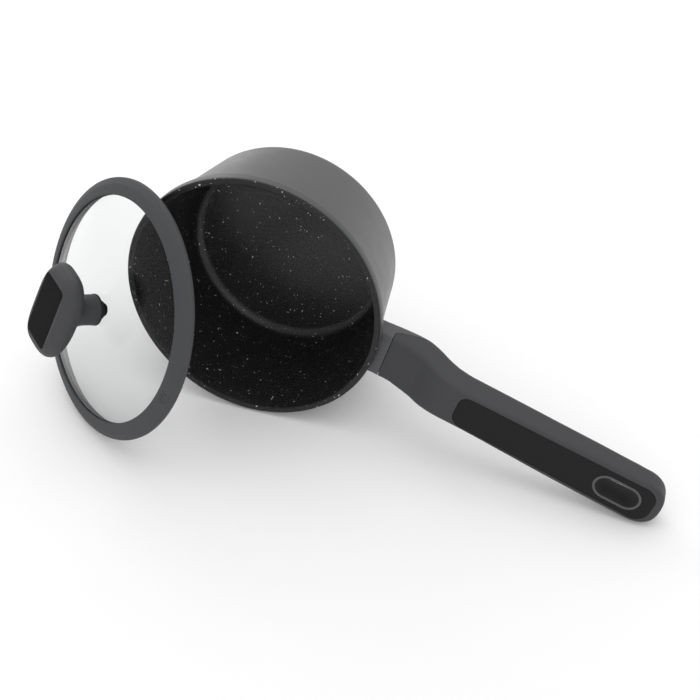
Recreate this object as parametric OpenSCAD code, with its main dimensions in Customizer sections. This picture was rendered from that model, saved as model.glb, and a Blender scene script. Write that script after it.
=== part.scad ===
// Saucepan with a glass lid, shown as it is displayed: the pan lies on its
// side on its rim, its base edge and the tip of its handle, and the lid stands
// on edge and leans on the pan's rim. Millimetres, +Z up, floor at Z = 0.

/* [Pan] */
// Outside radius of the rim band
rim_r = 95; // [90:0.5:100]
// Height of the pan from base to rim
pan_h = 89; // [84:1:96]
// Height of the raised rim band
band_h = 8; // [6:0.5:10]
// Outside radius of the wall just under the rim, extended to the rim plane
wall_top_r = 93.5; // [93:0.1:94]
// Outside radius of the wall extended down to the base plane
wall_base_r = 81.8; // [80:0.1:84]
// Radius of the outside corner between wall and base
base_corner = 11.3; // [10:0.1:12]
// Radius of the mouth inside the lip
mouth_r = 90; // [89:0.1:90.4]
// Thickness of the pan's bottom
bottom_t = 5; // [4.5:0.5:6]

/* [Handle] */
// Turn of the handle about the pan's axis, from level
handle_turn = -15.5; // [-16:0.1:-15]
// Distance from the pan's axis to the tip of the handle
handle_tip = 314.6; // [313:0.2:316]
// Upward tilt of the flat top of the grip
grip_tilt = 3.8; // [3.6:0.1:4]
// Height of the grip's top plane over the rim, at 95 mm from the axis
grip_top = 6.8; // [6.6:0.1:7]
// Width of the gap along the line where handle and bracket meet
part_gap = 0.4; // [0.2:0.1:0.6]
// Half length between the end centres of the hanging slot
slot_half = 7.7; // [6:0.1:9]
// Outside end radius of the hanging ring
ring_r = 9.7; // [9.4:0.1:10.2]
// Wall of the hanging ring
ring_wall = 1.7; // [1.4:0.1:2.2]

/* [Lid] */
// Outside radius of the silicone rim
lid_r = 93.5; // [92.5:0.1:94.5]
// Radius of the glass that shows inside the silicone rim
glass_r = 80.8; // [78:0.2:82]
// Height of the flat seat for the knob, over the edge of the rim
dome_h = 16.3; // [14:0.1:18]
// Thickness of the glass
glass_t = 4; // [3.5:0.1:4.2]
// Lean of the lid's axis over the floor
lid_lean = 26.13; // [26:0.01:26.4]
// Heading of the lid's axis
lid_turn = -126.96; // [-127.2:0.01:-126.8]

/* [Knob] */
// Half length of the knob head
knob_a = 34.3; // [30:0.1:36]
// Half width of the knob head
knob_b = 19.8; // [16:0.1:21]
// Height of the knob's top over the edge of the rim
knob_top = 55.6; // [54:0.1:58]
// Turn of the knob on the lid
knob_turn = -6.7; // [-30:0.1:30]

/* [Hidden] */
$fn = 128;

soft_grey = [0.30, 0.30, 0.31];
paint_grey = [0.36, 0.36, 0.37];
soft_black = [0.13, 0.13, 0.13];
steel = [0.75, 0.75, 0.76];
brass = [0.80, 0.66, 0.36];
eps = 0.05;

// Middle of the whole assembly's outline, which the origin stands under
mid_x = 65.96;
mid_y = 4.1455;

// ---- how the pan lies: it touches the floor at the lower edge of its rim
// band and at its rounded base corner
wall_lean = atan((wall_top_r - wall_base_r) / pan_h);
corner_r = wall_base_r + base_corner * tan(wall_lean) - base_corner / cos(wall_lean);
lie_a = rim_r - corner_r;
lie_b = pan_h - base_corner - band_h;
lie_tilt = acos(base_corner / sqrt(lie_a * lie_a + lie_b * lie_b)) - atan2(lie_b, lie_a);
rim_z = rim_r * cos(lie_tilt) + band_h * sin(lie_tilt);

// Pan frame: origin at the middle of the rim plane, +Z out of the mouth,
// +X along the handle
module pan_place() {
    translate([-mid_x, -mid_y, rim_z])
        rotate([90 - lie_tilt, 0, 0]) rotate([0, 0, handle_turn]) children();
}

// Lid frame: origin at the middle of the rim's outer top edge, +Z to the knob
lid_back = 3.2;
lid_x = -94.07;
lid_y = -26.5;
lid_z = (lid_r - 0.2) * cos(lid_lean) + lid_back * sin(lid_lean);
module lid_place() {
    translate([lid_x - mid_x, lid_y - mid_y, lid_z])
        rotate([0, 90 - lid_lean, lid_turn]) rotate([0, 0, 180]) children();
}

function arc(cx, cy, r, a0, a1, n) =
    [for (i = [0:n]) let (a = a0 + (a1 - a0) * i / n) [cx + r * cos(a), cy + r * sin(a)]];

// ---- pan
// Outside of the pan from base to rim, grown by g
function pan_outside(g = 0) = let (rc = base_corner + g)
    concat([[0, -pan_h - g]],
           arc(corner_r, -pan_h + base_corner, rc, -90, -wall_lean, 10),
           [[wall_top_r + g / cos(wall_lean) - (band_h + 1.6) * tan(wall_lean), -band_h - 1.6],
            [rim_r + g - 0.5, -band_h - g - 0.1],
            [rim_r + g, -band_h - g + 0.5]]);

in_z = -pan_h + bottom_t;
in_top = mouth_r - 0.4;
in_base = wall_base_r - 3.3;
in_lean = atan((in_top - in_base) / (pan_h - bottom_t));
in_corner = 9;
in_cr = in_base + in_corner * tan(in_lean) - in_corner / cos(in_lean);

module pan_body() {
    plate_r = 62;
    color(paint_grey) pan_place() difference() {
        rotate_extrude() polygon(concat(
            pan_outside(),
            arc(rim_r - 1.2, -0.8, 1.2, 0, 70, 4),
            arc(mouth_r + 1.2, -0.8, 1.2, 110, 180, 4),
            [[in_top, -2.2]],
            arc(in_cr, in_z + in_corner, in_corner, -in_lean, -90, 10),
            [[0, in_z]]));
        translate([0, 0, -pan_h - 1]) cylinder(r = plate_r, h = 2.2);
    }
}

module base_plate() {
    color(steel) pan_place() translate([0, 0, -pan_h + 0.02]) difference() {
        cylinder(r = 61.9, h = 1.13);
        // punched ring of round windows that key the plate to the base
        for (i = [0:11]) rotate([0, 0, i * 30]) translate([48, 0, -1]) cylinder(r = 3.5, h = 4, $fn = 48);
        for (i = [0:7]) rotate([0, 0, i * 45 + 15]) translate([30, 0, -1]) cylinder(r = 3.5, h = 4, $fn = 48);
        translate([0, 0, -1]) cylinder(r = 5, h = 4, $fn = 48);
    }
}

// ---- handle, in the pan frame
stud_y = 9;
stud_z = -18.5;
screw_x = 116;

// Handle stations: x, half width, top, bottom, top corner, bottom corner
rail = [
    [ 84, 18.7,  -8.40, -25.60, 3.0, 5.0],
    [ 93, 18.7,  -8.30, -25.90, 3.0, 5.0],
    [102, 18.6,  -7.70, -26.70, 3.0, 5.0],
    [110, 18.9,  -6.20, -26.80, 3.2, 5.2],
    [118, 19.2,  -3.70, -26.50, 3.4, 5.4],
    [127, 19.1,  -0.30, -25.50, 3.6, 5.6],
    [136, 18.4,   4.90, -22.10, 3.6, 5.8],
    [144, 16.9,   8.20, -18.80, 3.4, 5.8],
    [152, 15.8,  10.20, -16.00, 3.2, 5.6],
    [162, 15.3,  11.25, -13.90, 3.0, 5.4],
    [176, 15.4,  12.18, -12.40, 3.0, 5.2],
    [200, 16.1,  13.77,  -9.60, 3.0, 5.2],
    [230, 17.0,  15.77,  -5.90, 3.0, 5.2],
    [260, 17.5,  17.76,  -2.90, 3.0, 5.2],
    [290, 17.5,  19.75,  -0.40, 3.0, 5.4],
    [298, 17.4,  20.28,   0.20, 3.0, 5.6]];
tip_x0 = 297;
tip_len = handle_tip - tip_x0;

function cr(p0, p1, p2, p3, t) = 0.5 * (2 * p1 + (p2 - p0) * t
    + (2 * p0 - 5 * p1 + 4 * p2 - p3) * t * t + (3 * p1 - p0 - 3 * p2 + p3) * t * t * t);
function seg(x, i = 0) = (i >= len(rail) - 2 || x < rail[i + 1][0]) ? i : seg(x, i + 1);
function rail_at(x) = let (i = seg(x), a = rail[max(i - 1, 0)], b = rail[i], c = rail[i + 1],
    d = rail[min(i + 2, len(rail) - 1)], t = (x - b[0]) / (c[0] - b[0]))
    [for (k = [0:5]) k == 0 ? x : cr(a[k], b[k], c[k], d[k], t)];
// Past tip_x0 the section closes in plan and, less, in height
function tip_at(w) = let (b = rail_at(tip_x0), q = pow(cos(w), 0.62), p = 1 - cos(w))
    [tip_x0 + tip_len * sin(w), b[1] * q, b[2] + tip_len * sin(w) * tan(grip_tilt) - 3.2 * p,
     b[3] + 6.5 * p, b[4], b[5]];
stations = concat([for (x = [84:3:tip_x0 - 1]) rail_at(x)],
                  [for (w = [0, 14, 28, 40, 51, 61, 70, 78, 84]) tip_at(w)]);

// Rounded section of the handle, as points in x, y, z
function section(s) = let (h = s[2] - s[3], rt = min(s[4], s[1] * 0.9, h * 0.45), rb = min(s[5], s[1] * 0.9, h * 0.5))
    [for (p = concat(arc(s[1] - rt, s[2] - rt, rt, 0, 90, 6), arc(-s[1] + rt, s[2] - rt, rt, 90, 180, 6),
                     arc(-s[1] + rb, s[3] + rb, rb, 180, 270, 6), arc(s[1] - rb, s[3] + rb, rb, 270, 360, 6)))
        [s[0], p[0], p[1]]];

module loft(rings) {
    m = len(rings[0]);
    n = len(rings);
    polyhedron(points = [for (r = rings) each r],
        faces = concat(
            [[for (k = [m - 1:-1:0]) k]],
            [[for (k = [0:m - 1]) (n - 1) * m + k]],
            [for (i = [0:n - 2]) for (k = [0:m - 1]) each let (a = i * m + k, b = i * m + (k + 1) % m)
                [[a, b, b + m], [a, b + m, a + m]]]));
}

module handle_form() { loft([for (s = stations) section(s)]); }

// Side outline of the bracket: in front of the parting line, and under it as
// a wedge that runs out along the handle's underside
module bracket_side(g = 0) {
    rotate([90, 0, 0]) translate([0, 0, -30]) linear_extrude(60) polygon([
        [80, 14], [101.3 + g, 14], [101.3 + g, -12 + g * 0.5], [102.5 + g * 0.8, -15.4 + g * 0.6],
        [105.4 + g * 0.5, -16.9 + g * 0.8], [113.5, -19.4 + g], [119.3, -20.9 + g], [124.4 + g * 0.5, -22.6 + g * 0.8],
        [128.4 + g, -29], [128.4 + g, -40], [80, -40]]);
}

module stud_at() { for (y = [-stud_y, stud_y]) translate([0, y, stud_z]) rotate([0, 90, 0]) children(); }

module handle_bracket() {
    color(soft_grey) pan_place() difference() {
        intersection() { handle_form(); bracket_side(); }
        rotate_extrude() polygon(concat(pan_outside(0.1), [[rim_r + 0.1, 1], [0, 1]]));
        // pockets for the nuts, open to the handle
        for (y = [-stud_y, stud_y]) translate([95, y - 4.8, stud_z - 5.3]) cube([12.5, 9.6, 10.6]);
        stud_at() cylinder(r = 2.65, h = 96, $fn = 48);
        translate([screw_x, 0, -40]) cylinder(r = 2.3, h = 40, $fn = 48);
        translate([screw_x, 0, -40]) cylinder(r = 4.3, h = 15.4, $fn = 64);
    }
}

module weld_studs() {
    color(steel) pan_place() difference() {
        stud_at() union() {
            translate([0, 0, 84]) cylinder(r = 2.5, h = 17, $fn = 48);
        }
        rotate_extrude() polygon(concat(pan_outside(0.02), [[rim_r + 0.02, 1], [0, 1]]));
    }
}

module stud_washers() {
    color(steel) pan_place() stud_at() translate([0, 0, 95 + eps]) difference() {
        cylinder(r = 4.5, h = 0.9, $fn = 64);
        translate([0, 0, -1]) cylinder(r = 2.65, h = 3, $fn = 48);
    }
}

module stud_nuts() {
    color(steel) pan_place() stud_at() translate([0, 0, 96]) difference() {
        cylinder(r = 4.6, h = 4, $fn = 6);
        translate([0, 0, -1]) cylinder(r = 2.55, h = 6, $fn = 48);
    }
}

// Frame of the grip's flat top: +X along the grip, +Z out of the top
module grip_place() { translate([95, 0, grip_top]) rotate([0, -grip_tilt, 0]) children(); }
slot_s = 188.4;
module slot_prism(r, z0, z1) {
    translate([slot_s, 0, z0]) {
        for (x = [-slot_half, slot_half]) translate([x, 0, 0]) cylinder(r = r, h = z1 - z0, $fn = 96);
        translate([-slot_half, -r, 0]) cube([2 * slot_half, 2 * r, z1 - z0]);
    }
}

// Outline of the soft inlay: it widens to the tip, with larger end corners
inlay_s0 = 66.2;
inlay_s1 = 214;
function inlay_w(s) = 12.6 + (s - inlay_s0) * 0.0115;
function inlay_outline(g) = let (wa = inlay_w(inlay_s0) + g, wb = inlay_w(inlay_s1) + g, ra = 7.5 + g, rb = 10.5 + g,
    a = inlay_s0 - g, b = inlay_s1 + g)
    concat(arc(b - rb, wb - rb, rb, 0, 90, 8), arc(a + ra, wa - ra, ra, 90, 180, 8),
           arc(a + ra, -wa + ra, ra, 180, 270, 8), arc(b - rb, -wb + rb, rb, 270, 360, 8));

module handle_body() {
    color(soft_grey) pan_place() difference() {
        handle_form();
        bracket_side(part_gap);
        grip_place() translate([0, 0, -2.6]) linear_extrude(6) polygon(inlay_outline(0.1));
        grip_place() slot_prism(ring_r + 0.08, -40, 10);
        translate([screw_x, 0, -30]) cylinder(r = 3.25, h = 20.6, $fn = 64);
    }
}

module grip_inlay() {
    color(soft_black) pan_place() grip_place() difference() {
        translate([0, 0, -2.55]) linear_extrude(2.8) polygon(inlay_outline(0));
        slot_prism(ring_r + 0.08, -5, 5);
    }
}

module hang_ring() {
    color(soft_grey) pan_place() grip_place() difference() {
        slot_prism(ring_r, -20, 0.85);
        slot_prism(ring_r - ring_wall, -30, 5);
    }
}

module handle_insert() {
    color(brass) pan_place() translate([screw_x, 0, -15.7]) difference() {
        cylinder(r = 3.2, h = 6.2, $fn = 64);
        translate([0, 0, -1]) cylinder(r = 2.05, h = 6.2, $fn = 48);
    }
}

module handle_screw() {
    color(steel) pan_place() translate([screw_x, 0, 0]) difference() {
        union() {
            translate([0, 0, -26.5]) cylinder(r = 4, h = 1.9, $fn = 64);
            translate([0, 0, -25]) cylinder(r = 2, h = 14.5, $fn = 48);
        }
        for (a = [0, 90]) rotate([0, 0, a]) translate([-2.2, -0.5, -27.5]) cube([4.4, 1, 2]);
    }
}

// ---- lid
seat_r = 13;
hole_r = 4;
// Height of the glass top at radius r: a flat seat, then a shallow sphere
glass_edge_z = 4.0;
dome_drop = dome_h - glass_edge_z;
dome_half = glass_r - seat_r;
dome_rad = (dome_half * dome_half + dome_drop * dome_drop) / (2 * dome_drop);
function dome_z(r) = r <= seat_r ? dome_h :
    dome_h - dome_rad + sqrt(dome_rad * dome_rad - (r - seat_r) * (r - seat_r));
dome_steps = [for (i = [0:16]) seat_r + (glass_r + 3 - seat_r) * i / 16];

module lid_glass() {
    color([0.85, 0.9, 0.9, 0.4]) lid_place() rotate_extrude() polygon(concat(
        [[hole_r, dome_h - glass_t], [hole_r, dome_h]],
        [for (r = dome_steps) [r, dome_z(r)]],
        [for (i = [16:-1:0]) [dome_steps[i], dome_z(dome_steps[i]) - glass_t]]));
}

// Silicone rim: a collar that grips the glass edge, a flat flange and a
// skirt that drops into the pan's mouth
skirt_out = 85.6;
skirt_in = 83.2;
skirt_z = -6.6;
mark_turn = 260.3;
module lid_rim() {
    ge = glass_r + 3 + 0.05;
    gt = dome_z(ge) + 0.05;
    gb = dome_z(ge) - glass_t - 0.05;
    color(soft_grey) lid_place() difference() {
        rotate_extrude() polygon([
            [glass_r, dome_z(glass_r) + 0.05], [glass_r + 0.15, 4.75], [glass_r + 0.8, 5.05], [84, 4.15],
            [87.5, 2.95], [90.5, 1.75], [lid_r - 0.9, 0.45], [lid_r - 0.15, -0.05], [lid_r, -0.5],
            [lid_r - 0.1, -2.7], [lid_r - 0.6, -lid_back], [skirt_out + 0.5, -lid_back],
            [skirt_out + 0.1, -3.9], [skirt_out, skirt_z + 0.5], [skirt_out - 0.5, skirt_z],
            [skirt_in + 0.5, skirt_z], [skirt_in, skirt_z + 0.5], [skirt_in - 0.9, -2.6],
            [glass_r - 0.1, -1.6], [glass_r - 0.3, dome_z(glass_r - 0.3) - glass_t - 0.05],
            [ge, gb], [ge, gt]]);
        // steam vent: three short slots through the skirt, under the mark
        for (a = [-5, 0, 5]) rotate([0, 0, mark_turn + a])
            translate([skirt_in - 4, -1.5, skirt_z - 1]) cube([8, 3, 2.9]);
    }
}

// ---- knob, in the lid frame
// Knob stations: height, half length, half width, squareness. The round stem
// flares into the squarish head.
head_rows = [
    [17.3, 10.7, 10.7, 2], [17.8, 11, 11, 2], [23, 10.9, 10.9, 2], [28, 11, 11, 2],
    [32, 11.9, 11.7, 2.05], [34.6, 14.0, 13.2, 2.15], [36.2, 17.2, 14.8, 2.35], [37.4, 21.0, 16.2, 2.6],
    [38.5, 26.0, 17.6, 2.75], [40, 29.8, 18.7, 3.0], [42.2, 32.8, 19.6, 3.2], [44.8, 34.1, 19.8, 3.3],
    [47.2, 34.3, 19.6, 3.3], [49.6, 33.5, 18.9, 3.35], [52, 31.7, 17.6, 3.5], [54, 29.7, 16.1, 3.8],
    [55.2, 28, 15, 3.8]];
function super(a, b, e, n) = [for (i = [0:n - 1]) let (t = 360 * i / n, c = cos(t), s = sin(t))
    [a * sign(c) * pow(abs(c), 2 / e), b * sign(s) * pow(abs(s), 2 / e)]];

insert_z0 = 18.6;
module knob_body() {
    color(soft_grey) lid_place() rotate([0, 0, knob_turn]) difference() {
        loft([for (h = head_rows) [for (p = super(h[1] * knob_a / 34.3, h[2] * knob_b / 19.8, h[3], 56))
            [p[0], p[1], h[0] + (h[0] > 30 ? knob_top - 55.6 : 0)]]]);
        translate([0, 0, 17]) cylinder(r = 3.65, h = 14.1, $fn = 64);
        translate([0, 0, knob_top - 2.4]) linear_extrude(4) polygon(plate_outline(0.08));
    }
}

function plate_outline(g) = let (a = 24.8 + g, b = 13.1 + g, r = 3.6 + g)
    concat(arc(a - r, b - r, r, 0, 90, 5), arc(-a + r, b - r, r, 90, 180, 5),
           arc(-a + r, -b + r, r, 180, 270, 5), arc(a - r, -b + r, r, 270, 360, 5));

module knob_inlay() {
    color(soft_black) lid_place() rotate([0, 0, knob_turn])
        translate([0, 0, knob_top - 2.35]) linear_extrude(2.35) polygon(plate_outline(0));
}

module knob_insert() {
    color(brass) lid_place() translate([0, 0, insert_z0]) difference() {
        cylinder(r = 3.6, h = 12.2, $fn = 64);
        translate([0, 0, -1]) cylinder(r = 2.15, h = 12.2, $fn = 48);
    }
}

module knob_gasket() {
    color([0.1, 0.1, 0.12]) lid_place() translate([0, 0, dome_h + 0.02]) difference() {
        cylinder(r = 11.3, h = 0.95, $fn = 96);
        translate([0, 0, -1]) cylinder(r = 4.2, h = 3, $fn = 64);
    }
}

module glass_bush() {
    color([0.1, 0.1, 0.12]) lid_place() difference() {
        union() {
            translate([0, 0, dome_h - glass_t - 1.22]) cylinder(r = 7, h = 1.2, $fn = 96);
            translate([0, 0, dome_h - glass_t - 0.1]) cylinder(r = hole_r - 0.05, h = glass_t + 0.9, $fn = 64);
        }
        translate([0, 0, 5]) cylinder(r = 2.5, h = 20, $fn = 48);
    }
}

module knob_washer() {
    color(steel) lid_place() translate([0, 0, dome_h - glass_t - 2.45]) difference() {
        cylinder(r = 6.5, h = 1.2, $fn = 96);
        translate([0, 0, -1]) cylinder(r = 2.5, h = 4, $fn = 48);
    }
}

module knob_screw() {
    color(steel) lid_place() difference() {
        union() {
            translate([0, 0, dome_h - glass_t - 5]) cylinder(r = 4.6, h = 2.5, $fn = 64);
            translate([0, 0, dome_h - glass_t - 3]) cylinder(r = 2.1, h = 20, $fn = 48);
        }
        for (a = [0, 90]) rotate([0, 0, a]) translate([-2.6, -0.6, dome_h - glass_t - 6]) cube([5.2, 1.2, 2.6]);
    }
}

pan_body();
base_plate();
weld_studs();
handle_bracket();
stud_washers();
stud_nuts();
handle_body();
grip_inlay();
hang_ring();
handle_insert();
handle_screw();
lid_glass();
lid_rim();
knob_body();
knob_inlay();
knob_insert();
knob_gasket();
glass_bush();
knob_washer();
knob_screw();
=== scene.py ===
"""Saucepan with a glass lid: the visual model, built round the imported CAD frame.

Lengths in the shape code are millimetres in each part's own frame, and become
metres in the row frame when a mesh is made.
"""
import math

import bmesh
import bpy
import numpy as np
from mathutils import Matrix, Vector


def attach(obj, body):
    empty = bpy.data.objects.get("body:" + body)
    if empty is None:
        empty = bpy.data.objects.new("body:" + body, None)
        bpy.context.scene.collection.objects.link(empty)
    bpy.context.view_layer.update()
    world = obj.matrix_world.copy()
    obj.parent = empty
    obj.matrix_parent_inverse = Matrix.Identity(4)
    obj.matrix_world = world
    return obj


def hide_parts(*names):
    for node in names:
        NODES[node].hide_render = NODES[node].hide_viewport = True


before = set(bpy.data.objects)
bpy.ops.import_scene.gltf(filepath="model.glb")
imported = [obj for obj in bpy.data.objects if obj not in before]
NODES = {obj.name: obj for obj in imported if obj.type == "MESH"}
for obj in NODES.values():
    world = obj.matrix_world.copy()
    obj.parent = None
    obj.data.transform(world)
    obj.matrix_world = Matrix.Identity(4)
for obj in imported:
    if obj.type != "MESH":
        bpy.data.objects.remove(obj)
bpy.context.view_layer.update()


# ------------------------------------------------------------------ frames
def rot(axis, deg):
    c, s = math.cos(math.radians(deg)), math.sin(math.radians(deg))
    if axis == "x":
        return np.array([[1, 0, 0], [0, c, -s], [0, s, c]])
    if axis == "y":
        return np.array([[c, 0, s], [0, 1, 0], [-s, 0, c]])
    return np.array([[c, -s, 0], [s, c, 0], [0, 0, 1]])


RIM_R, PAN_H, BAND_H = 95.0, 89.0, 8.0
WALL_TOP, WALL_BASE, CORNER = 93.5, 81.8, 11.3
MOUTH_R, BOTTOM_T = 90.0, 5.0
MID = (65.96, 4.1455)
HANDLE_TURN, HANDLE_TIP, GRIP_TILT, GRIP_TOP = -15.5, 314.6, 3.8, 6.8
LEAN = math.atan((WALL_TOP - WALL_BASE) / PAN_H)
CORNER_R = WALL_BASE + CORNER * math.tan(LEAN) - CORNER / math.cos(LEAN)
_a, _b = RIM_R - CORNER_R, PAN_H - CORNER - BAND_H
LIE = math.degrees(math.acos(CORNER / math.hypot(_a, _b)) - math.atan2(_b, _a))
RIM_Z = RIM_R * math.cos(math.radians(LIE)) + BAND_H * math.sin(math.radians(LIE))

LID_R, GLASS_R, DOME_H, GLASS_T = 93.5, 80.8, 16.3, 4.0
LID_LEAN, LID_TURN, LID_BACK = 26.13, -126.96, 3.2
LID_Z = (LID_R - 0.2) * math.cos(math.radians(LID_LEAN)) + LID_BACK * math.sin(math.radians(LID_LEAN))


class Place:
    """A rotation and a position, in millimetres in the row frame."""

    def __init__(self, r, t):
        self.r, self.t = np.array(r, float), np.array(t, float)

    def __call__(self, pts):
        return (np.asarray(pts, float) @ self.r.T + self.t) * 0.001

    def then(self, r, t):
        return Place(self.r @ r, self.r @ np.array(t, float) + self.t)


PAN = Place(rot("x", 90 - LIE) @ rot("z", HANDLE_TURN), [-MID[0], -MID[1], RIM_Z])
GRIP = PAN.then(rot("y", -GRIP_TILT), [95, 0, GRIP_TOP])
LID = Place(rot("z", LID_TURN) @ rot("y", 90 - LID_LEAN) @ rot("z", 180),
            [-94.07 - MID[0], -26.5 - MID[1], LID_Z])
KNOB_TURN = -6.7
KNOB = LID.then(rot("z", KNOB_TURN), [0, 0, 0])


# ------------------------------------------------------------------ meshes
def make(name, verts, faces, mats, slot_of=None, sharp=35, body="pan", smooth=True):
    me = bpy.data.meshes.new(name)
    me.from_pydata([tuple(v) for v in verts], [], faces)
    for m in mats:
        me.materials.append(m)
    if slot_of is not None:
        me.polygons.foreach_set("material_index", slot_of)
    me.validate()
    bm = bmesh.new()
    bm.from_mesh(me)
    bmesh.ops.remove_doubles(bm, verts=bm.verts, dist=1e-7)
    bmesh.ops.recalc_face_normals(bm, faces=bm.faces)
    bm.to_mesh(me)
    bm.free()
    if smooth:
        me.shade_smooth()
        me.set_sharp_from_angle(angle=math.radians(sharp))
    o = bpy.data.objects.new(name, me)
    bpy.context.scene.collection.objects.link(o)
    if body:
        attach(o, body)
    return o


def arc(cx, cy, r, a0, a1, n):
    return [(cx + r * math.cos(math.radians(a0 + (a1 - a0) * i / n)),
             cy + r * math.sin(math.radians(a0 + (a1 - a0) * i / n))) for i in range(n + 1)]


def lathe(name, prof, place, mats, zone=None, seg=256, body="pan", sharp=35, warp=None):
    """Turns a closed outline of (r, z) points; zone(r, z) picks a material."""
    verts, idx, faces, slots = [], [], [], []
    for r, z in prof:
        if r < 1e-4:
            idx.append([len(verts)] * seg)
            verts.append((0, 0, z))
        else:
            idx.append([len(verts) + k for k in range(seg)])
            verts += [(r * math.cos(2 * math.pi * k / seg), r * math.sin(2 * math.pi * k / seg), z)
                      for k in range(seg)]
    n = len(prof)
    for i in range(n):
        j = (i + 1) % n
        if prof[i][0] < 1e-4 and prof[j][0] < 1e-4:
            continue
        z = zone((prof[i][0] + prof[j][0]) / 2, (prof[i][1] + prof[j][1]) / 2) if zone else 0
        for k in range(seg):
            m = (k + 1) % seg
            f = []
            for v in (idx[i][k], idx[i][m], idx[j][m], idx[j][k]):
                if v not in f:
                    f.append(v)
            faces.append(f)
            slots.append(z)
    v = np.array(verts, float)
    if warp is not None:
        v = warp(v)
    return make(name, place(v), faces, mats, slots, sharp, body)


def loft(rings, place, name, mats, body="pan", sharp=40, caps=True):
    m, n = len(rings[0]), len(rings)
    verts = np.concatenate([np.asarray(r, float) for r in rings])
    faces = []
    for i in range(n - 1):
        for k in range(m):
            a, b = i * m + k, i * m + (k + 1) % m
            faces.append([a, b, b + m, a + m])
    if caps:
        faces.append(list(range(m))[::-1])
        faces.append([(n - 1) * m + k for k in range(m)])
    return make(name, place(verts), faces, mats, None, sharp, body)


def apply_mods(o):
    dg = bpy.context.evaluated_depsgraph_get()
    me = bpy.data.meshes.new_from_object(o.evaluated_get(dg))
    old = o.data
    o.modifiers.clear()
    o.data = me
    bpy.data.meshes.remove(old)
    return o


def cut(o, cutter, op="DIFFERENCE"):
    m = o.modifiers.new("cut", "BOOLEAN")
    m.operation = op
    m.solver = "EXACT"
    m.object = cutter
    apply_mods(o)
    bpy.data.objects.remove(cutter)
    return o


def finish_shading(o, sharp=35):
    me = o.data
    me.shade_smooth()
    me.set_sharp_from_angle(angle=math.radians(sharp))


def prism(name, pts, z0, z1, place, mats=(), body=None):
    n = len(pts)
    verts = [(x, y, z0) for x, y in pts] + [(x, y, z1) for x, y in pts]
    faces = [list(range(n))[::-1], [n + k for k in range(n)]]
    faces += [[k, (k + 1) % n, n + (k + 1) % n, n + k] for k in range(n)]
    return make(name, place(verts), faces, list(mats), None, 30, body, smooth=False)


# ------------------------------------------------------------------ materials
class Mat:
    def __init__(self, name):
        self.m = bpy.data.materials.new(name)
        self.m.use_nodes = True
        self.t = self.m.node_tree
        self.t.nodes.clear()
        self.out = self.t.nodes.new("ShaderNodeOutputMaterial")
        self.p = self.t.nodes.new("ShaderNodeBsdfPrincipled")
        self.link(self.p.outputs[0], self.out.inputs[0])
        self.co = self.t.nodes.new("ShaderNodeTexCoord").outputs["Object"]

    def link(self, a, b):
        self.t.links.new(a, b)

    def node(self, kind, **props):
        n = self.t.nodes.new(kind)
        for k, v in props.items():
            setattr(n, k, v)
        return n

    def noise(self, scale, detail=3.0, rough=0.55, co=None):
        n = self.node("ShaderNodeTexNoise")
        n.inputs["Scale"].default_value = scale
        n.inputs["Detail"].default_value = detail
        n.inputs["Roughness"].default_value = rough
        self.link(co or self.co, n.inputs["Vector"])
        return n.outputs["Fac"]

    def ramp(self, fac, stops):
        n = self.node("ShaderNodeValToRGB")
        e = n.color_ramp.elements
        while len(e) < len(stops):
            e.new(0.5)
        for el, (p, c) in zip(e, stops):
            el.position = p
            el.color = (c[0], c[1], c[2], 1) if hasattr(c, "__len__") else (c, c, c, 1)
        self.link(fac, n.inputs[0])
        return n.outputs[0]

    def maths(self, op, a, b=None, clamp=False):
        n = self.node("ShaderNodeMath", operation=op, use_clamp=clamp)
        for i, v in enumerate((a, b)):
            if v is None:
                continue
            if isinstance(v, (int, float)):
                n.inputs[i].default_value = v
            else:
                self.link(v, n.inputs[i])
        return n.outputs[0]

    def mix(self, fac, a, b):
        n = self.node("ShaderNodeMix", data_type="RGBA")
        if isinstance(fac, (int, float)):
            n.inputs[0].default_value = fac
        else:
            self.link(fac, n.inputs[0])
        for i, v in ((6, a), (7, b)):
            if isinstance(v, tuple):
                n.inputs[i].default_value = (*v, 1)
            else:
                self.link(v, n.inputs[i])
        return n.outputs[2]

    def bump(self, height, strength, dist, normal=None):
        n = self.node("ShaderNodeBump")
        n.inputs["Strength"].default_value = strength
        n.inputs["Distance"].default_value = dist
        self.link(height, n.inputs["Height"])
        if normal is not None:
            self.link(normal, n.inputs["Normal"])
        return n.outputs[0]

    def set(self, **kw):
        for k, v in kw.items():
            s = self.p.inputs[k.replace("_", " ")]
            if isinstance(v, bpy.types.NodeSocket):
                self.link(v, s)
            elif isinstance(v, tuple):
                s.default_value = (*v, 1)
            else:
                s.default_value = v
        return self


def matte(name, base, rough, grain=2600, bump=0.12, depth=0.00004, var=0.12, mottle=90, spec=0.5, tint=None):
    """Moulded or sprayed surface: a faint mottle, a fine grain and uneven gloss."""
    m = Mat(name)
    lo = tuple(c * (1 - var) for c in base)
    hi = tuple(c * (1 + var) for c in (tint or base))
    broad = m.noise(mottle, 4, 0.6)
    fine = m.noise(grain, 2, 0.5)
    both = m.maths("ADD", m.maths("MULTIPLY", broad, 0.6), m.maths("MULTIPLY", fine, 0.4))
    col = m.ramp(both, [(0.3, lo), (0.7, hi)])
    rg = m.ramp(broad, [(0.25, max(rough - 0.05, 0.05)), (0.75, min(rough + 0.05, 1))])
    n = m.bump(fine, bump, depth)
    n = m.bump(broad, bump * 0.5, depth * 3, n)
    m.set(Base_Color=col, Roughness=rg, Specular_IOR_Level=spec, Normal=n)
    return m.m


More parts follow.
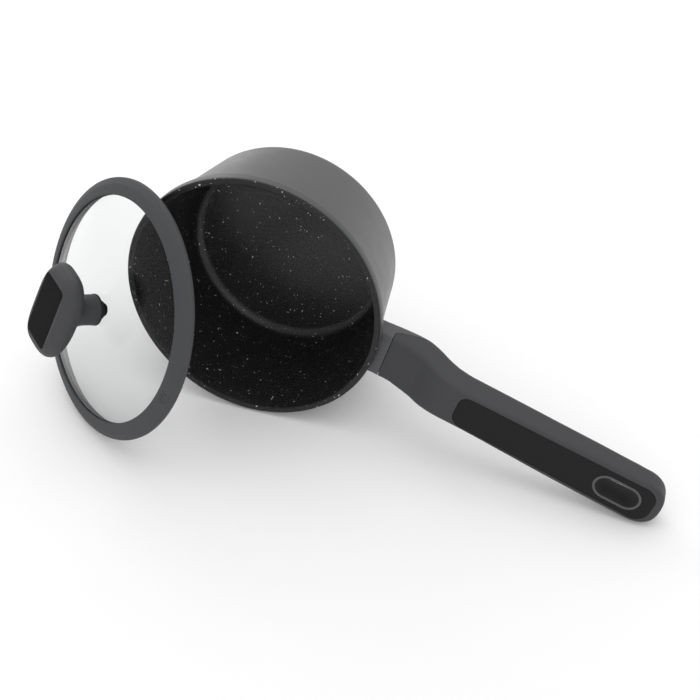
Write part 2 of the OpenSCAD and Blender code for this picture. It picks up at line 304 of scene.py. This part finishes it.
def nonstick(name, base=(0.0150, 0.0150, 0.0155), rough=0.27, spec=0.40, lift=1.0):
    """Granite-look coating: black ground, scattered pale flakes of several sizes."""
    m = Mat(name)

    def flakes(scale, size, keep, off):
        mp = m.node("ShaderNodeMapping")
        mp.inputs["Location"].default_value = off
        mp.inputs["Rotation"].default_value = (0.3, 0.7, 0.2)
        m.link(m.co, mp.inputs["Vector"])
        wob = m.node("ShaderNodeTexNoise")
        wob.inputs["Scale"].default_value = 130
        m.link(m.co, wob.inputs["Vector"])
        amp = m.node("ShaderNodeVectorMath", operation="SCALE")
        amp.inputs["Scale"].default_value = 0.012
        m.link(wob.outputs["Color"], amp.inputs[0])
        add = m.node("ShaderNodeVectorMath", operation="ADD")
        m.link(mp.outputs[0], add.inputs[0])
        m.link(amp.outputs[0], add.inputs[1])
        v = m.node("ShaderNodeTexVoronoi")
        v.inputs["Scale"].default_value = scale
        m.link(add.outputs[0], v.inputs["Vector"])
        sep = m.node("ShaderNodeSeparateColor")
        m.link(v.outputs["Color"], sep.inputs[0])
        r, g = sep.outputs[0], sep.outputs[1]
        size_here = m.maths("MULTIPLY", m.maths("POWER", g, 2.2), size)
        hit = m.maths("SUBTRACT", size_here, v.outputs["Distance"])
        hit = m.maths("MULTIPLY", hit, 26.0, clamp=True)
        return m.maths("MULTIPLY", hit, m.maths("LESS_THAN", r, keep))

    big = flakes(400, 0.225, 0.85, (0.011, 0.003, 0.007))
    mid = flakes(850, 0.24, 0.55, (0.005, 0.013, 0.001))
    dust = m.noise(1500, 3, 0.65)
    cloud = m.noise(60, 3, 0.6)
    ground = m.ramp(m.maths("ADD", m.maths("MULTIPLY", dust, 0.75), m.maths("MULTIPLY", cloud, 0.25)),
                    [(0.32, tuple(c * 0.7 * lift for c in base)), (0.56, tuple(c * 1.1 * lift for c in base)),
                     (0.74, tuple(c * 2.6 * lift for c in base))])
    c1 = m.mix(m.maths("MULTIPLY", mid, 0.7), ground, (0.34, 0.35, 0.35))
    c2 = m.mix(big, c1, (0.80, 0.82, 0.82))
    n = m.bump(dust, 0.16, 0.00005)
    n = m.bump(m.noise(420, 2, 0.5), 0.03, 0.00005, n)
    rg = m.ramp(dust, [(0.3, rough - 0.06), (0.7, rough + 0.08)])
    m.set(Base_Color=c2, Roughness=rg, Specular_IOR_Level=spec, Normal=n)
    return m.m


def metal(name, base, rough, scratch=(40, 900), axis_mix=True):
    m = Mat(name)
    mp = m.node("ShaderNodeMapping")
    mp.inputs["Scale"].default_value = (scratch[0], scratch[1], scratch[1])
    m.link(m.co, mp.inputs["Vector"])
    br = m.noise(1.0, 4, 0.6, mp.outputs[0])
    broad = m.noise(70, 3, 0.5)
    col = m.ramp(br, [(0.3, tuple(c * 0.8 for c in base)), (0.7, base)])
    rg = m.ramp(m.maths("ADD", m.maths("MULTIPLY", br, 0.5), m.maths("MULTIPLY", broad, 0.5)),
                [(0.3, rough - 0.07), (0.7, rough + 0.1)])
    m.set(Base_Color=col, Roughness=rg, Metallic=1.0, Normal=m.bump(br, 0.08, 0.00003))
    return m.m


def glass(name):
    m = Mat(name)
    sm = m.noise(14, 2, 0.5)
    m.set(Base_Color=m.ramp(sm, [(0.2, (0.862, 0.868, 0.868)), (0.8, (0.872, 0.878, 0.878))]), Transmission_Weight=1.0,
          IOR=1.2, Roughness=0.0, Specular_IOR_Level=0.3)
    tr = m.node("ShaderNodeBsdfTransparent")
    tr.inputs[0].default_value = (0.95, 0.95, 0.95, 1)
    lp = m.node("ShaderNodeLightPath")
    mx = m.node("ShaderNodeMixShader")
    m.link(lp.outputs["Is Shadow Ray"], mx.inputs[0])
    m.link(m.p.outputs[0], mx.inputs[1])
    m.link(tr.outputs[0], mx.inputs[2])
    m.link(mx.outputs[0], m.out.inputs[0])
    return m.m


PAINT = matte("pan_paint", (0.070, 0.0705, 0.072), 0.36, grain=1900, bump=0.10, depth=0.00004, var=0.07, mottle=60, spec=0.5)
BAND = matte("band_paint", (0.070, 0.071, 0.0735), 0.40, grain=1900, bump=0.10, depth=0.00004, var=0.07, mottle=60, spec=0.5)
COAT = nonstick("nonstick_coating")
LIP = nonstick("lip_coating", base=(0.011, 0.0112, 0.0115), rough=0.45, spec=0.32, lift=1.0)
SOFT = matte("handle_soft_touch", (0.046, 0.0465, 0.050), 0.56, grain=2400, bump=0.10, var=0.05, mottle=50, spec=0.34)
ROOT = matte("bracket_moulded", (0.088, 0.089, 0.095), 0.5, grain=2400, bump=0.10, var=0.05, mottle=50, spec=0.36)
LOOP = matte("ring_moulded", (0.090, 0.091, 0.093), 0.55, grain=2400, bump=0.10, var=0.06, mottle=50, spec=0.34)
# a darker copy of the ring's moulding for its inner wall: painted shade down inside the slot
BORE_SHADE = matte("ring_bore_painted_shade", (0.030, 0.030, 0.031), 0.7, grain=2400, bump=0.12, var=0.1, mottle=50, spec=0.2)
# a darker copy of the inlay rubber for the knob's top: painted shade
PANEL_SHADED = matte("knob_panel_rubber_painted_shade", (0.0085, 0.0085, 0.0087), 0.82, grain=1500, bump=0.22, depth=0.00005, var=0.16, mottle=120, spec=0.12)
KNOBM = matte("knob_soft_touch", (0.053, 0.0535, 0.0565), 0.56, grain=2400, bump=0.10, var=0.05, mottle=50, spec=0.32)
INLAY = matte("inlay_rubber", (0.0118, 0.0118, 0.0121), 0.75, grain=1500, bump=0.22, depth=0.00005, var=0.16, mottle=120, spec=0.22)
SILICONE = matte("silicone_rim", (0.062, 0.063, 0.0685), 0.6, grain=2600, bump=0.08, var=0.06, mottle=45, spec=0.24)
DARK = matte("dark_silicone", (0.012, 0.012, 0.015), 0.5, grain=2600, bump=0.1, var=0.1, spec=0.4)
STEEL = metal("steel", (0.62, 0.62, 0.63), 0.32)
BLACKED = metal("blackened_steel", (0.030, 0.030, 0.031), 0.5)
BRASS = metal("brass", (0.62, 0.46, 0.20), 0.35)
GLASS = glass("lid_glass_clear")


# ------------------------------------------------------------------ pan
def pan_shell():
    in_z = -PAN_H + BOTTOM_T
    in_top, in_base, fil = MOUTH_R - 0.4, WALL_BASE - 3.3, 9.0
    il = math.atan((in_top - in_base) / (PAN_H - BOTTOM_T))
    icr = in_base + fil * math.tan(il) - fil / math.cos(il)
    dl = math.degrees(LEAN)
    t = math.tan(LEAN)

    def wall(z):
        return WALL_TOP + z * t

    prof = [(0, -PAN_H + 1.2), (61.4, -PAN_H + 1.2), (61.9, -PAN_H + 1.0), (62.0, -PAN_H + 0.3), (62.4, -PAN_H)]
    prof += arc(CORNER_R, -PAN_H + CORNER, CORNER, -90, -dl, 18)
    for z in np.linspace(-70, -14, 8):
        prof.append((wall(z), z))
    # the raised band: a small cove, a rounded step, a soft line near the top
    prof += [(wall(-10.0), -10.0), (wall(-9.4) - 0.02, -9.4), (wall(-9.05) + 0.08, -9.05), (wall(-8.85) + 0.4, -8.85),
             (wall(-8.62) + 1.1, -8.62), (93.95, -8.42), (94.45, -8.2), (94.75, -7.9), (94.92, -7.4), (95.0, -6.6),
             (95.0, -4.2), (94.97, -3.0), (94.88, -2.2), (94.62, -1.75), (94.62, -1.55), (94.7, -1.3)]
    prof += [(94.62, -0.62), (94.42, -0.2), (94.05, 0.12), (93.4, 0.3), (92.5, 0.33), (91.5, 0.31),
             (90.9, 0.2), (90.4, -0.1), (90.12, -0.5), (90.0, -1.1), (89.9, -1.7), (89.72, -2.3)]
    for z in np.linspace(-5, -66, 9):
        prof.append((in_top + z * (in_top - in_base) / (PAN_H - BOTTOM_T) + 0.0, z))
    prof += arc(icr, in_z + fil, fil, -math.degrees(il), -90, 20)
    prof += [(48, in_z), (24, in_z), (0, in_z)]

    def zone(r, z):
        if z > -1.42 and r > 89.95:
            return 2
        if z > in_z - 0.1 and r < wall(z) - 1.2 and r < 90.3:
            return 1
        if z > -9.95:
            return 3
        return 0

    o = lathe("pan_shell", prof, PAN, [PAINT, COAT, LIP, BAND], zone, seg=288, sharp=40)
    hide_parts("pan_body")
    return o


# ------------------------------------------------------------------ handle
RAIL = [(84, 18.7, -8.4, -25.6, 3.0, 5.0), (93, 18.7, -8.3, -25.9, 3.0, 5.0),
        (102, 18.6, -7.7, -26.7, 3.0, 5.0), (110, 18.9, -6.2, -26.8, 3.2, 5.2),
        (118, 19.2, -3.7, -26.5, 3.4, 5.4), (127, 19.1, -0.3, -25.5, 3.6, 5.6),
        (136, 18.4, 4.9, -22.1, 3.6, 5.8), (144, 16.9, 8.2, -18.8, 3.4, 5.8),
        (152, 15.8, 10.2, -16.0, 3.2, 5.6), (162, 15.3, 11.25, -13.9, 3.0, 5.4),
        (176, 15.4, 12.18, -12.4, 3.0, 5.2), (200, 16.1, 13.77, -9.6, 3.0, 5.2),
        (230, 17.0, 15.77, -5.9, 3.0, 5.2), (260, 17.5, 17.76, -2.9, 3.0, 5.2),
        (290, 17.5, 19.75, -0.4, 3.0, 5.4), (298, 17.4, 20.28, 0.2, 3.0, 5.6)]
TIP_X0 = 297.0
TIP_LEN = HANDLE_TIP - TIP_X0


def cr(p0, p1, p2, p3, t):
    return 0.5 * (2 * p1 + (p2 - p0) * t + (2 * p0 - 5 * p1 + 4 * p2 - p3) * t * t
                  + (3 * p1 - p0 - 3 * p2 + p3) * t ** 3)


def rail_at(x):
    i = 0
    while i < len(RAIL) - 2 and x >= RAIL[i + 1][0]:
        i += 1
    a, b, c, d = RAIL[max(i - 1, 0)], RAIL[i], RAIL[i + 1], RAIL[min(i + 2, len(RAIL) - 1)]
    t = (x - b[0]) / (c[0] - b[0])
    return [x] + [cr(a[k], b[k], c[k], d[k], t) for k in range(1, 6)]


def tip_at(w):
    b = rail_at(TIP_X0)
    s, c = math.sin(math.radians(w)), math.cos(math.radians(w))
    q, p = c ** 0.62, 1 - c
    return [TIP_X0 + TIP_LEN * s, b[1] * q, b[2] + TIP_LEN * s * math.tan(math.radians(GRIP_TILT)) - 3.2 * p,
            b[3] + 6.5 * p, b[4], b[5]]


def bell(x, a, b, c, d):
    """0 before a, 1 from b to c, 0 after d, smooth between."""
    def s(t):
        t = min(max(t, 0), 1)
        return t * t * (3 - 2 * t)
    return s((x - a) / (b - a)) * (1 - s((x - c) / (d - c)))


def section(s):
    x, hw, top, bot = s[0], s[1], s[2], s[3]
    h = top - bot
    rt = min(s[4], hw * 0.9, h * 0.45)
    rb = min(s[5], hw * 0.9, h * 0.5)
    pts = []
    # right top corner, top face from +v to -v, left top corner, left side, bottom
    pts += arc(hw - rt, top - rt, rt, 0, 90, 9)
    for k in range(1, 16):
        pts.append((hw - rt + (2 * rt - 2 * hw) * k / 16, top))
    pts += arc(-hw + rt, top - rt, rt, 90, 180, 9)
    for k in range(1, 4):
        pts.append((-hw, top - rt + (bot + rb - top + rt) * k / 4))
    pts += arc(-hw + rb, bot + rb, rb, 180, 270, 9)
    for k in range(1, 6):
        pts.append((-hw + rb + (2 * hw - 2 * rb) * k / 6, bot))
    pts += arc(hw - rb, bot + rb, rb, 270, 360, 9)
    for k in range(1, 4):
        pts.append((hw, bot + rb + (top - rt - bot - rb) * k / 4))
    out = []
    # neck: the top face is scooped between two soft shoulder ridges
    dish = 1.5 * bell(x, 103, 116, 128, 150)
    drop = 2.3 * bell(x, 100, 112, 130, 152)
    for y, z in pts:
        up = min(max((z - (top - 6)) / 6, 0), 1)
        u = abs(y) / hw
        ridge = 0.78
        if u < ridge:
            z -= dish * (1 - (u / ridge) ** 2) * up
        else:
            z -= drop * ((u - ridge) / (1 - ridge)) ** 1.3 * up
        out.append((x, y, z))
    return out


def side_block(name, g, x0=60):
    pts = [(x0, 30), (101.3 + g, 30), (101.3 + g, -11 + g * 0.5), (101.45 + g, -13.2 + g * 0.5), (101.8 + g, -14.5 + g * 0.5),
           (102.5 + g * 0.8, -15.4 + g * 0.6), (103.7 + g * 0.6, -16.25 + g * 0.7), (105.4 + g * 0.5, -16.9 + g * 0.8),
           (113.5, -19.4 + g), (119.3, -20.9 + g), (124.4 + g * 0.5, -22.6 + g * 0.8), (128.4 + g, -29),
           (128.4 + g, -45), (x0, -45)]
    # drawn in x, z and swept along the pan frame's y
    n = len(pts)
    verts = [(x, -32, z) for x, z in pts] + [(x, 32, z) for x, z in pts]
    faces = [list(range(n)), [n + k for k in range(n)][::-1]]
    faces += [[k, n + k, n + (k + 1) % n, (k + 1) % n] for k in range(n)]
    return make(name, PAN(verts), faces, [SOFT], None, 30, None, smooth=False)


SLOT_S, SLOT_HALF, RING_R, RING_WALL = 188.4, 7.7, 9.7, 1.7
INLAY_S0, INLAY_S1 = 66.2, 214.0


def inlay_outline(g, n=14):
    def w(s):
        return 12.6 + (s - INLAY_S0) * 0.0115
    wa, wb, ra, rb = w(INLAY_S0) + g, w(INLAY_S1) + g, 7.5 + g, 10.5 + g
    a, b = INLAY_S0 - g, INLAY_S1 + g
    return (arc(b - rb, wb - rb, rb, 0, 90, n) + arc(a + ra, wa - ra, ra, 90, 180, n)
            + arc(a + ra, -wa + ra, ra, 180, 270, n) + arc(b - rb, -wb + rb, rb, 270, 360, n))


def slot_outline(r, n=24):
    return (arc(SLOT_S + SLOT_HALF, 0, r, -90, 90, n) + arc(SLOT_S - SLOT_HALF, 0, r, 90, 270, n))


def offset_stack(name, outline, rows, place, mats, body="pan", sharp=40):
    """Closed solid from stacked outlines: rows are (inset g, height)."""
    rings = [[(x, y, z) for x, y in outline(g)] for g, z in rows]
    return loft(rings, place, name, mats, body, sharp)


def handle_form(name):
    xs = list(np.arange(84, 296.1, 1.5))
    st = [rail_at(x) for x in xs] + [tip_at(w) for w in (0, 6, 12, 18, 24, 30, 36, 42, 48, 54, 60, 65, 70, 74, 78, 81, 84, 86.5)]
    return loft([section(s) for s in st], PAN, name, [SOFT], None, 40)


def handle():
    body = handle_form("handle_grip")
    cut(body, side_block("cut_a", 0.45))
    cut(body, prism("cut_b", inlay_outline(0.22), -2.6, 8, GRIP))
    cut(body, prism("cut_c", slot_outline(RING_R + 0.08), -45, 12, GRIP))
    bolt = prism("cut_d", arc(116, 0, 3.25, 0, 351, 39), -30, -9.6, PAN)
    cut(body, bolt)
    finish_shading(body, 38)
    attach(body, "pan")
    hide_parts("handle_body")

    brk = handle_form("handle_root")
    brk.data.materials[0] = ROOT
    cut(brk, side_block("cut_e", 0.0), "INTERSECT")
    # follow the pan's wall and rim band
    prof = [(0, -60), (WALL_TOP - 60 * math.tan(LEAN) + 0.12, -60), (WALL_TOP - 9.7 * math.tan(LEAN) + 0.12, -9.7), (95.12, -8.0), (95.12, 4), (0, 4)]
    drum = lathe("cut_f", prof, PAN, [SOFT], None, seg=288, body=None, sharp=30)
    cut(brk, drum)
    for i, y in enumerate((-9, 9)):
        cut(brk, prism("cut_g%d" % i, [(95, y - 4.8), (107.5, y - 4.8), (107.5, y + 4.8), (95, y + 4.8)], -23.8, -13.2, PAN))
    cut(brk, prism("cut_h", arc(116, 0, 4.3, 0, 351, 39), -40, -24.6, PAN))
    cut(brk, prism("cut_i", arc(116, 0, 2.3, 0, 345, 23), -40, 0, PAN))
    finish_shading(brk, 38)
    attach(brk, "pan")
    for i, (y, w) in enumerate(((13.4, 0.7), (17.3, 1.0))):
        rings = []
        for x in np.linspace(95.3, 101.1, 9):
            s = rail_at(x)
            sec = section(s)
            top = max(q[2] for q in sec if abs(q[1] - y) < 1.2)
            f = 0.35 if x in (95.3, 101.1) else 1.0
            rings.append([(x, y + w / 2 * math.cos(2 * math.pi * k / 10), top - 0.05 + 0.38 * f * math.sin(2 * math.pi * k / 10)) for k in range(10)])
        rb = loft(rings, PAN, "root_rib_%d" % (i + 1), [ROOT], "pan", 60)
    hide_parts("handle_bracket")

    # soft inlay: rounded edge, very slightly crowned
    z0 = 0.25
    pad = offset_stack("grip_pad", lambda g: inlay_outline(g), [
        (-0.02, -2.5), (0.0, -0.3), (-0.02, -0.05), (-0.12, 0.1), (-0.34, 0.2), (-0.8, z0), (-2.2, z0 + 0.06), (-5.5, z0 + 0.12)],
        GRIP, [INLAY], sharp=30)
    hole = prism("cut_j", slot_outline(RING_R + 0.08), -6, 6, GRIP)
    cut(pad, hole)
    finish_shading(pad, 30)
    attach(pad, "pan")
    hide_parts("grip_inlay")

    # hanging ring: a rounded lip on a tube that lines the slot
    loop = [(RING_R, -19.9), (RING_R, -0.2), (RING_R, 0.35), (RING_R - 0.12, 0.62), (RING_R - 0.4, 0.8), (RING_R - 0.9, 0.85),
            (RING_R - 1.4, 0.8), (RING_R - 1.68, 0.62), (RING_R - 1.8, 0.35), (RING_R - 1.8, -0.2), (RING_R - 2.0, -19.9)]
    rings = [[(x, y, z) for x, y in slot_outline(r)] for r, z in loop]
    m = len(rings[0])
    verts = np.concatenate([np.array(r) for r in rings])
    faces = []
    n = len(rings)
    for i in range(n):
        j = (i + 1) % n
        for k in range(m):
            faces.append([i * m + k, i * m + (k + 1) % m, j * m + (k + 1) % m, j * m + k])
    # the tube's inner wall and lower end take the darker copy: painted shade inside the slot
    bore_shade_zones = [1 if i >= 8 else 0 for i in range(n) for k in range(m)]
    ring = make("hanging_ring", GRIP(verts), faces, [LOOP, BORE_SHADE], bore_shade_zones, 40, "pan")
    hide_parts("hang_ring")


# ------------------------------------------------------------------ lid
SEAT_R, HOLE_R, EDGE_Z = 13.0, 4.0, 4.0
DROP, HALF = DOME_H - EDGE_Z, GLASS_R - SEAT_R
DOME_RAD = (HALF * HALF + DROP * DROP) / (2 * DROP)


def dome_z(r):
    if r <= SEAT_R:
        return DOME_H
    return DOME_H - DOME_RAD + math.sqrt(DOME_RAD ** 2 - (r - SEAT_R) ** 2)


def lid():
    steps = [SEAT_R + (GLASS_R + 3 - SEAT_R) * i / 40 for i in range(41)]
    prof = [(HOLE_R, DOME_H - GLASS_T), (HOLE_R, DOME_H)]
    prof += [(r, dome_z(r)) for r in steps]
    prof += [(r, dome_z(r) - GLASS_T) for r in steps[::-1]]
    g = lathe("lid_dome", prof, LID, [GLASS], None, seg=256, body="lid", sharp=50)
    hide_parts("lid_glass")

    ge = GLASS_R + 3.05
    gt, gb = dome_z(ge) + 0.05, dome_z(ge) - GLASS_T - 0.05
    so, si, sz = 85.6, 83.2, -6.6
    prof = [(GLASS_R, dome_z(GLASS_R) + 0.05), (GLASS_R + 0.02, 4.45), (GLASS_R + 0.15, 4.72), (GLASS_R + 0.38, 4.92),
            (GLASS_R + 0.75, 5.0), (82.6, 4.82), (84, 4.55), (85.8, 4.12), (87.4, 3.66), (88.3, 3.36), (88.55, 3.3), (88.8, 3.16),
            (89.6, 2.66), (90.6, 2.0), (91.6, 1.34), (92.3, 0.86), (92.75, 0.52), (93.05, 0.22), (93.28, -0.14), (93.42, -0.5), (93.5, -1.0),
            (93.5, -1.9), (93.4, -2.6), (93.15, -3.0), (92.75, -3.2),
            (86.3, -3.2), (85.85, -3.5), (85.68, -4.0), (so, sz + 0.5), (so - 0.15, sz + 0.15), (so - 0.5, sz),
            (si + 0.5, sz), (si + 0.15, sz + 0.15), (si, sz + 0.5), (si - 0.3, -4.4), (si - 0.9, -2.6),
            (GLASS_R - 0.1, -1.6), (GLASS_R - 0.35, -0.9), (GLASS_R - 0.3, dome_z(GLASS_R - 0.3) - GLASS_T - 0.05),
            (ge, gb), (ge, gt)]
    rim = lathe("lid_collar", prof, LID, [SILICONE], None, seg=288, body="lid", sharp=48)
    for a in (-5, 0, 5):
        c = rot("z", MARK_TURN + a)
        cut(rim, prism("cut_k", [(si - 4, -1.5), (si + 4, -1.5), (si + 4, 1.5), (si - 4, 1.5)], sz - 1, sz + 1.9,
                       LID.then(c, [0, 0, 0])))
    finish_shading(rim, 48)
    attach(rim, "lid")
    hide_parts("lid_rim")


MARK_TURN = 260.3


def rim_z(r):
    """Top of the silicone collar at radius r."""
    t = [(81.5, 5.0), (82.6, 4.82), (84, 4.55), (85.8, 4.12), (87.4, 3.66), (88.3, 3.36), (88.8, 3.16), (89.6, 2.66), (90.6, 2.0), (91.6, 1.34), (92.3, 0.86)]
    return float(np.interp(r, [p[0] for p in t], [p[1] for p in t]))


def stroke(pts, width, lift, name):
    """A raised rounded line on the collar; pts are (tangent, radius) in mm."""
    pts = np.array(pts, float)
    ang = math.radians(MARK_TURN)
    rings = []
    n = len(pts)
    for i in range(n):
        d = pts[min(i + 1, n - 1)] - pts[max(i - 1, 0)]
        d /= np.linalg.norm(d)
        s = np.array([-d[1], d[0]])
        w = width / 2 * (0.35 if i in (0, n - 1) else 1)
        ring = []
        for k in range(10):
            a = 2 * math.pi * k / 10
            q = pts[i] + s * w * math.cos(a)
            t, r = q[0], q[1]
            h = rim_z(r) + max(math.sin(a), -0.6) * lift * (0.4 if i in (0, n - 1) else 1)
            th = ang + t / 87.0
            ring.append((r * math.cos(th), r * math.sin(th), h))
        rings.append(ring)
    o = loft(rings, LID, name, [SILICONE], "lid", 60)
    return o


def steam_mark():
    for i, x in enumerate((-3.6, -0.4, 2.8)):
        pts = [(x + 0.55 * math.sin(t * 2 * math.pi), 84.4 + 4.6 * t) for t in np.linspace(0, 1, 17)]
        stroke(pts, 0.8, 0.45, "steam_line_%d" % (i + 1))
    pts = [(x, 89.9 + 0.9 * math.cos(math.pi * x / 11)) for x in np.linspace(-4.6, 3.8, 15)]
    stroke(pts, 0.8, 0.45, "steam_line_4")


# ------------------------------------------------------------------ knob
HEAD = [(17.3, 10.7, 10.7, 2), (17.8, 11, 11, 2), (23, 10.9, 10.9, 2), (28, 11, 11, 2), (32, 11.9, 11.7, 2.05),
        (34.6, 14.0, 13.2, 2.15), (36.2, 17.2, 14.8, 2.35), (37.4, 21.0, 16.2, 2.6), (38.5, 26.0, 17.6, 2.75),
        (40, 29.8, 18.7, 3.0), (42.2, 32.8, 19.6, 3.2), (44.8, 34.1, 19.8, 3.3), (47.2, 34.3, 19.6, 3.3),
        (49.6, 33.5, 18.9, 3.35), (52, 31.7, 17.6, 3.5), (54, 29.7, 16.1, 3.8), (55.2, 28, 15, 3.8)]


def superell(a, b, e, n=160):
    t = np.linspace(0, 2 * math.pi, n, endpoint=False)
    c, s = np.cos(t), np.sin(t)
    return np.c_[a * np.sign(c) * np.abs(c) ** (2 / e), b * np.sign(s) * np.abs(s) ** (2 / e)]


def even(poly, n=160):
    """Resamples a closed outline to n even steps from its +X point."""
    p = np.vstack([poly, poly[:1]])
    d = np.r_[0, np.cumsum(np.hypot(*np.diff(p, axis=0).T))]
    s = np.linspace(0, d[-1], n, endpoint=False)
    return np.c_[np.interp(s, d, p[:, 0]), np.interp(s, d, p[:, 1])]


def knob():
    rings = []
    seq = []
    for i in range(len(HEAD) - 1):
        a, b, c, d = HEAD[max(i - 1, 0)], HEAD[i], HEAD[i + 1], HEAD[min(i + 2, len(HEAD) - 1)]
        m = 4
        for k in range(m):
            t = k / m
            seq.append([cr(a[j], b[j], c[j], d[j], t) for j in range(4)])
    seq.append(list(HEAD[-1]))
    for z, a, b, e in seq:
        p = even(superell(a, b, e, 720))
        rings.append([(x, y, z) for x, y in p])
    # top: crowned, running in to the inlay's pocket
    o = loft(rings, KNOB, "knob_grip", [KNOBM], None, 45)
    out = inlay_k(0.12)
    cut(o, prism("cut_l", out, 53.2, 60, KNOB))
    cut(o, prism("cut_m", arc(0, 0, 3.65, 0, 351, 39), 16, 31.1, KNOB))
    finish_shading(o, 42)
    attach(o, "lid")
    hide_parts("knob_body")

    # the knob's inlay takes the darker copy of the inlay rubber: painted shade on the knob's top
    rows = [(-0.02, 53.25), (0.0, 54.9), (-0.08, 55.15), (-0.3, 55.32), (-0.8, 55.42), (-2.5, 55.5), (-6, 55.58)]
    pad = loft([[(x, y, z) for x, y in inlay_k(g)] for g, z in rows], KNOB, "knob_panel", [PANEL_SHADED], "lid", 30)
    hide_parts("knob_inlay")


def inlay_k(g, n=10):
    a, b, r = 24.8 + g, 13.1 + g, max(3.6 + g, 0.4)
    return (arc(a - r, b - r, r, 0, 90, n) + arc(-a + r, b - r, r, 90, 180, n)
            + arc(-a + r, -b + r, r, 180, 270, n) + arc(a - r, -b + r, r, 270, 360, n))


pan_shell()
handle()
lid()
steam_mark()
knob()

for name, mat in (("base_plate", STEEL), ("weld_studs", STEEL), ("stud_washers", STEEL), ("stud_nuts", STEEL),
                  ("handle_insert", BRASS), ("handle_screw", STEEL), ("knob_insert", BRASS), ("knob_gasket", DARK),
                  ("glass_bush", DARK), ("knob_washer", BLACKED), ("knob_screw", BLACKED)):
    o = NODES[name]
    o.data.materials.clear()
    o.data.materials.append(mat)
    o.data.shade_smooth()
    o.data.set_sharp_from_angle(angle=math.radians(32))


# ------------------------------------------------------------------ stage
def stage():
    m = Mat("floor_white")
    m.set(Base_Color=m.ramp(m.noise(9, 2, 0.5), [(0.2, (0.97, 0.97, 0.97)), (0.8, (0.985, 0.985, 0.985))]), Roughness=0.85,
          Specular_IOR_Level=0.1)
    me = bpy.data.meshes.new("floor")
    s = 6.0
    me.from_pydata([(-s, -s, 0), (s, -s, 0), (s, s, 0), (-s, s, 0)], [], [[0, 1, 2, 3]])
    me.materials.append(m.m)
    fl = bpy.data.objects.new("floor", me)
    bpy.context.scene.collection.objects.link(fl)

    w = bpy.data.worlds.new("studio")
    bpy.context.scene.world = w
    w.use_nodes = True
    bg = w.node_tree.nodes["Background"]
    bg.inputs[0].default_value = (1, 1, 1, 1)
    bg.inputs[1].default_value = 0.74

    def area(name, pos, target, size, power, shape="SQUARE"):
        d = bpy.data.lights.new(name, "AREA")
        d.energy = power
        d.shape = shape
        d.size = size
        o = bpy.data.objects.new(name, d)
        o.location = pos
        v = Vector(target) - Vector(pos)
        o.rotation_euler = v.to_track_quat("-Z", "Y").to_euler()
        bpy.context.scene.collection.objects.link(o)
        return o

    area("overhead", (0.15, 0.45, 2.2), (0, 0, 0), 2.2, 16)
    area("left_back", (-0.85, 0.75, 0.62), (-0.05, 0.05, 0.1), 0.7, 2.9)
    area("front_fill", (0.4, -2.2, 1.5), (0, 0, 0.1), 1.8, 6)

    cam = bpy.data.cameras.new("camera")
    cam.sensor_width = 36
    cam.lens = 61.714
    cam.clip_start = 0.01
    cam.clip_end = 50
    co = bpy.data.objects.new("camera", cam)
    right, up, back = Vector((.95208, .30586, 0)), Vector((-.21127, .65766, .72309)), Vector((.22116, -.68844, .69076))
    m4 = Matrix((right, up, back)).transposed().to_4x4()
    m4.translation = Vector((0.26007 - MID[0] * 0.001, -0.58199 - MID[1] * 0.001, 0.65386))
    co.matrix_world = m4
    bpy.context.scene.collection.objects.link(co)
    bpy.context.scene.camera = co
    vs = bpy.context.scene.view_settings
    vs.view_transform = "Standard"
    vs.look = "None"
    vs.exposure = 0
    vs.gamma = 1


stage()
